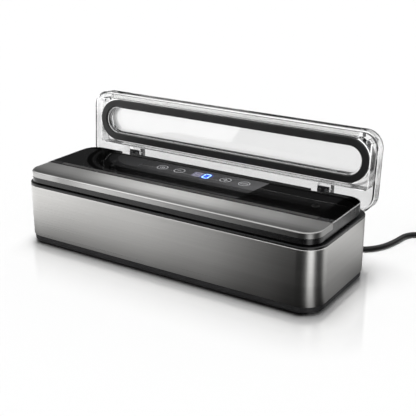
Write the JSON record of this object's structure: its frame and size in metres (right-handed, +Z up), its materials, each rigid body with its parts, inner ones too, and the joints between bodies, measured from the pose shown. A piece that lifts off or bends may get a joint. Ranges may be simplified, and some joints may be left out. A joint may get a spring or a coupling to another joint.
{
  "type": "vacuum sealer",
  "caption": "Countertop vacuum sealer with a steel-wrapped body, glass control deck and hinged clear lid that shuts a gasket on a bag's mouth and welds it.",
  "frame": {"origin": "middle of the footprint on the table, with the lid standing open", "axes": "+X along the machine to its right end, +Y to the rear where the lid hinges, +Z up"},
  "size_m": [0.495, 0.399, 0.156],
  "materials": {
    "brushed_steel": "satin steel sheet with fine lines along its length",
    "cap_metal": "smooth satin grey metal sheet",
    "plinth_black": "black moulded plastic, fine texture",
    "deck_grey": "dark grey satin plastic",
    "black_glass": "polished black back-printed glass",
    "clear_lid": "clear moulded plastic, polished",
    "black_rubber": "soft black rubber",
    "clear_silicone": "translucent silicone",
    "hinge_metal": "dark coated steel",
    "bright_metal": "bright plated steel",
    "display": "display window with lit blue figure",
    "circuit_green": "green lacquered circuit board",
    "copper": "lacquered copper winding",
    "pale_plastic": "off-white moulded plastic",
    "grey_metal": "plain zinc-plated steel",
    "heater_base": "brown laminated insulator",
    "release_tape": "dark coated glass cloth",
    "cord_black": "black flexible cord sheath"
  },
  "bodies": {
    "base": {"base_tray": "plinth_black", "rubber_feet": "black_rubber", "base_screws": "grey_metal", "body_shell": "deck_grey", "steel_wrap": "brushed_steel", "neck_seal": "black_rubber", "deck_frame": "deck_grey", "front_cap": "cap_metal", "glass_panel": "black_glass", "display_module": "display", "touch_board": "circuit_green", "heater_bar": "heater_base", "heater_wire": "grey_metal", "release_tape": "release_tape", "vacuum_port": "plinth_black", "port_screen": "grey_metal", "lid_sensors": "plinth_black", "pump_saddle": "plinth_black", "pump_motor": "grey_metal", "pump_head": "deck_grey", "pump_diaphragm": "black_rubber", "pump_cover": "deck_grey", "valve_body": "pale_plastic", "valve_coil": "copper", "valve_spring": "grey_metal", "suction_hose": "clear_silicone", "port_hose": "clear_silicone", "pressure_sensor": "pale_plastic", "power_board": "circuit_green", "transformer": "copper", "board_parts": "pale_plastic", "terminal_block": "pale_plastic", "strain_relief": "black_rubber", "power_cord": "cord_black", "cord_coil": "cord_black", "cord_tail": "cord_black", "cord_plug": "cord_black", "plug_pins": "bright_metal", "hinge_bracket_left": "hinge_metal", "hinge_bracket_right": "hinge_metal", "hinge_pin_left": "bright_metal", "hinge_pin_right": "bright_metal", "bracket_screws": "bright_metal"},
    "lid": {"hinge_arm_left": "hinge_metal", "hinge_arm_right": "hinge_metal", "arm_screws": "bright_metal", "lid_shell": "clear_lid", "lid_gasket": "black_rubber", "press_strip": "clear_silicone", "lid_magnets": "bright_metal"},
    "rotor": {"pump_rotor": "copper"},
    "plunger": {"valve_plunger": "grey_metal"}
  },
  "joints": [
    {"name": "lid_hinge", "type": "hinge", "parent": "base", "child": "lid", "pos_m": [0, 0.04381, 0.0761], "axis": [1, 0, 0], "range_deg": [0, 94]},
    {"name": "pump_spin", "type": "hinge", "parent": "base", "child": "rotor", "pos_m": [-0.106, -0.00249, 0.0255], "axis": [1, 0, 0], "continuous": true},
    {"name": "valve_lift", "type": "slide", "parent": "base", "child": "plunger", "axis": [0, 0, 1], "range_m": [0, 0.002], "stiffness_N_per_m": 40, "deforming": ["valve_spring"]}
  ]
}
